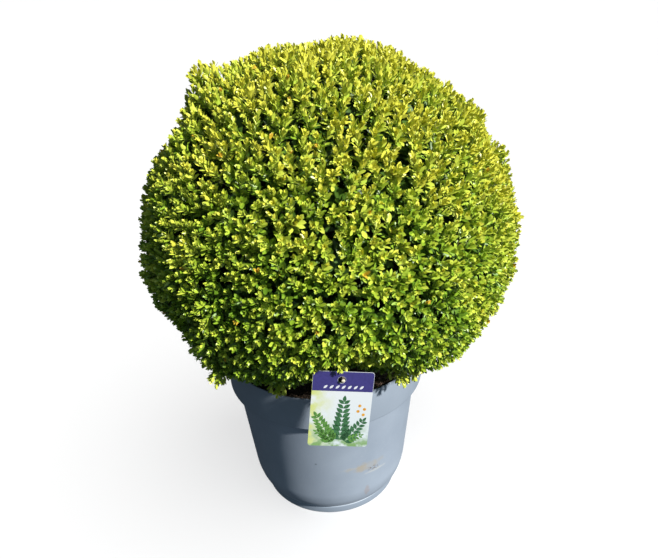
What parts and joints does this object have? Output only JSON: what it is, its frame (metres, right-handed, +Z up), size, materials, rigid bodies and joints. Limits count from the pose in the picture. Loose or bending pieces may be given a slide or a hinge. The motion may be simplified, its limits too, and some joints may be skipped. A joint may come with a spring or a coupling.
{
  "type": "potted box topiary ball",
  "caption": "Clipped box shrub grown as a dense ball of small leaves in a round grey plastic nursery pot, with a hang label on a twig in front of it.",
  "frame": {"origin": "centre of the pot's flat underside", "axes": "+Z up along the pot's axis, -Y towards the front, where the label hangs"},
  "size_m": [0.6871, 0.68, 0.9155],
  "materials": {
    "pot": "moulded blue-grey plastic, satin, with a dried mud smear",
    "soil": "loose damp potting compost",
    "bark": "pale ridged bark",
    "leaves": "small glossy evergreen leaves, yellow-green at the tips",
    "label": "printed card under a clear film"
  },
  "bodies": {
    "root": {"pot": "pot", "soil": "soil", "trunk": "bark", "foliage": "leaves", "label": "label"}
  },
  "joints": []
}
